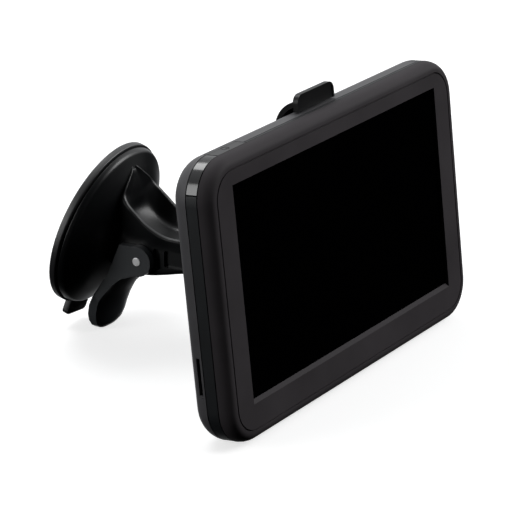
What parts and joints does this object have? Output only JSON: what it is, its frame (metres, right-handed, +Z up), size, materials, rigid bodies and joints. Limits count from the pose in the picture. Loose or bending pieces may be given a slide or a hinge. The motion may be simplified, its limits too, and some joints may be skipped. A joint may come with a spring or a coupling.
{
  "type": "portable gps navigator",
  "caption": "Portable car navigator with a wide touch screen, held by a clip-on cradle and ball joint on a windscreen suction mount with a locking lever.",
  "frame": {"origin": "middle of the box round the object, on the surface that it stands on", "axes": "+X across the screen to the driver's right when facing it, +Y from the screen to the suction cup, +Z up"},
  "size_m": [0.1364, 0.104, 0.0898],
  "materials": {
    "bezel_plastic": "fine matte grain, faint warm tint",
    "band_plastic": "fine matte grain",
    "gloss_trim": "polished black",
    "shell_plastic": "fine matte grain",
    "key_plastic": null,
    "screen_glass": "screen that is off: black, low sheen",
    "display_panel": "dark laminated panel",
    "foam": "closed-cell foam",
    "sheet_steel": "tinned sheet",
    "circuit_board": "green solder mask",
    "chip_resin": "moulded resin",
    "antenna_ceramic": "sintered ceramic with a silvered face",
    "battery_pouch": "soft satin foil",
    "speaker_parts": "moulded frame with a paper cone",
    "flex_film": "amber film",
    "screw_steel": "black oxide",
    "cradle_plastic": "satin",
    "liner_nylon": "nylon",
    "ball_plastic": "satin",
    "mount_plastic": "satin with fine flow texture",
    "cup_rubber": "soft, slightly shiny",
    "stud_metal": "turned",
    "lever_plastic": "satin",
    "pin_steel": "polished steel"
  },
  "bodies": {
    "mount": {"suction_base": "mount_plastic", "suction_cup": "cup_rubber"},
    "ball": {"mount_ball": "ball_plastic"},
    "liner": {"socket_liner": "liner_nylon"},
    "cradle": {"cradle_plate": "cradle_plastic"},
    "latch": {"latch_tab": "cradle_plastic"},
    "navigator": {"front_bezel": "bezel_plastic", "side_band": "band_plastic", "corner_trim": "gloss_trim", "rear_cover": "shell_plastic", "touch_panel": "screen_glass", "panel_gasket": "foam", "lcd_panel": "display_panel", "backlight_tray": "sheet_steel", "main_board": "circuit_board", "board_chips": "chip_resin", "rf_shield": "sheet_steel", "gps_antenna": "antenna_ceramic", "battery": "battery_pouch", "speaker": "speaker_parts", "speaker_gasket": "foam", "usb_socket": "sheet_steel", "card_socket": "sheet_steel", "display_flex": "flex_film", "case_screws": "screw_steel", "key_switch": "sheet_steel"},
    "key": {"power_key": "key_plastic"},
    "lever": {"suction_lever": "lever_plastic", "lever_pin": "pin_steel"},
    "stud": {"cup_stud": "stud_metal", "cup_center": "cup_rubber"}
  },
  "joints": [
    {"name": "ball_roll", "type": "hinge", "parent": "mount", "child": "ball", "pos_m": [0, -0.01656, 0.031], "axis": [-0.0698, 0.9976, 0], "range_deg": [-90, 90]},
    {"name": "ball_pan", "type": "hinge", "parent": "ball", "child": "liner", "pos_m": [0, -0.01656, 0.031], "axis": [0, 0.112, 0.9937], "range_deg": [-20, 20]},
    {"name": "ball_tilt", "type": "hinge", "parent": "liner", "child": "cradle", "pos_m": [0, -0.01656, 0.031], "axis": [1, 0, 0], "range_deg": [-20, 20]},
    {"name": "latch_flex", "type": "hinge", "parent": "cradle", "child": "latch", "pos_m": [0, -0.02709, 0.07191], "axis": [-1, 0, 0], "range_deg": [0, 6], "stiffness_Nm_per_rad": 0.6},
    {"name": "release_tilt", "type": "hinge", "parent": "cradle", "child": "navigator", "pos_m": [0, -0.03785, 0.00419], "axis": [1, 0, 0], "range_deg": [0, 30]},
    {"name": "key_press", "type": "slide", "parent": "navigator", "child": "key", "axis": [0, -0.112, -0.9937], "range_m": [0, 0.0006], "stiffness_N_per_m": 1500},
    {"name": "lever_turn", "type": "hinge", "parent": "mount", "child": "lever", "pos_m": [-0.00263, 0.02112, 0.02791], "axis": [-0.9976, -0.0698, 0], "range_deg": [0, 75]},
    {"name": "stud_slide", "type": "slide", "parent": "mount", "child": "stud", "axis": [-0.0666, 0.953, 0.2957], "range_m": [0, 0.0025]}
  ],
  "couplings": [
    {"joint": "lever_turn", "follows": "stud_slide", "rad_per_m": 523.6}
  ]
}
